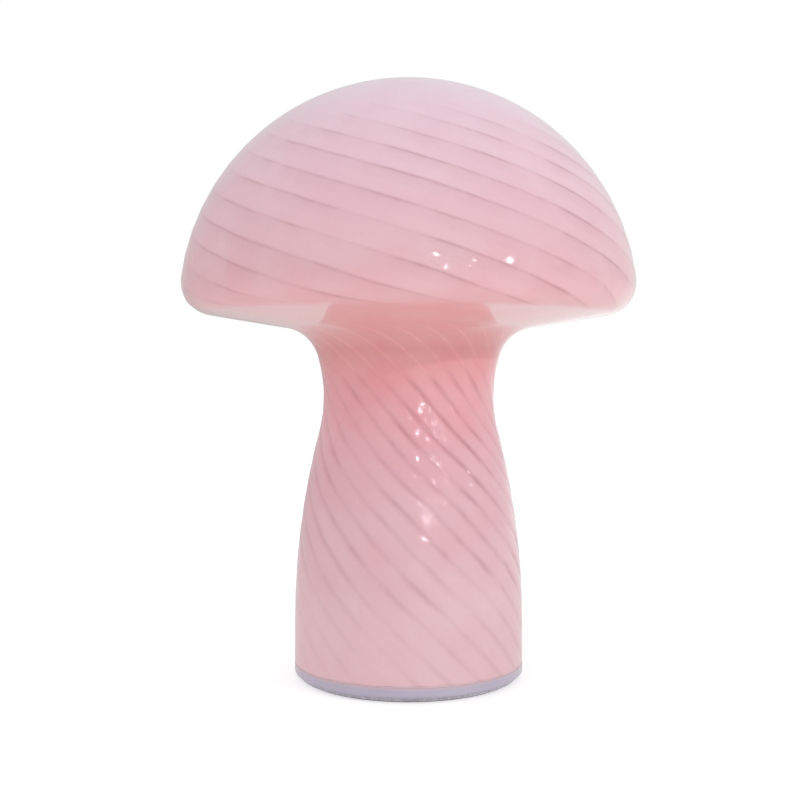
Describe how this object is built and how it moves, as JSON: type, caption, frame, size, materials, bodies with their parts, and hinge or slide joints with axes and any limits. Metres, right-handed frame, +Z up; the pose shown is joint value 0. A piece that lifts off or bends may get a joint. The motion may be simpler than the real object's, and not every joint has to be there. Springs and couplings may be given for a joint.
{
  "type": "table lamp",
  "caption": "Mushroom-shaped table lamp: one blown pink glass cap and stem with a spiral, on a slim rechargeable light base with a rear port and push button.",
  "frame": {"origin": "on the table, under the middle of the stem", "axes": "+Z up along the stem's axis, +Y to the back, where the port and the button are, +X to the right"},
  "size_m": [0.1746, 0.1746, 0.23],
  "materials": {
    "pink_glass": "cased opal glass, pale pink with a spiral, glossy",
    "ring_plastic": "glossy lilac grey",
    "clear_silicone": "translucent silicone",
    "white_plastic": "moulded white",
    "plate_plastic": "fine-textured grey",
    "foot_rubber": "soft foam rubber",
    "screw_steel": "zinc plated",
    "plate_aluminium": "brushed",
    "led_board_white": "white solder mask",
    "led_phosphor": "yellow phosphor",
    "opal_plastic": "opal diffuser",
    "board_laminate": "green solder mask",
    "chip_plastic": "moulded black",
    "port_steel": "stamped, bright",
    "black_plastic": "moulded black",
    "clear_lens": "clear",
    "cell_sleeve": "shrink sleeve",
    "grey_plastic": "moulded grey",
    "nickel_strip": "nickel",
    "red_insulation": "PVC",
    "black_insulation": "PVC"
  },
  "bodies": {
    "root": {"glass_body": "pink_glass", "base_ring": "ring_plastic", "glass_gasket": "clear_silicone", "grip_band": "clear_silicone", "base_drum": "white_plastic", "bottom_plate": "plate_plastic", "foot_ring": "foot_rubber", "base_screws": "screw_steel", "cradle_screws": "screw_steel", "board_screws": "screw_steel", "clamp_screws": "screw_steel", "led_screws": "screw_steel", "heat_plate": "plate_aluminium", "led_board": "led_board_white", "led_chips": "led_phosphor", "diffuser_dome": "opal_plastic", "control_board": "board_laminate", "board_parts": "chip_plastic", "port_shell": "port_steel", "port_tongue": "black_plastic", "indicator_lens": "clear_lens", "tact_switch": "black_plastic", "battery_cell": "cell_sleeve", "battery_cradle": "grey_plastic", "battery_clamp": "grey_plastic", "battery_tabs": "nickel_strip", "board_sockets": "white_plastic", "battery_plug": "white_plastic", "led_plug": "white_plastic", "battery_lead_red": "red_insulation", "battery_lead_black": "black_insulation", "led_lead_red": "red_insulation", "led_lead_black": "black_insulation"},
    "button": {"power_button": "ring_plastic", "switch_plunger": "white_plastic"}
  },
  "joints": [
    {"name": "button_press", "type": "slide", "parent": "root", "child": "button", "axis": [0, -1, 0], "range_m": [0, 0.0005], "stiffness_N_per_m": 900, "springref_m": -0.0002}
  ]
}
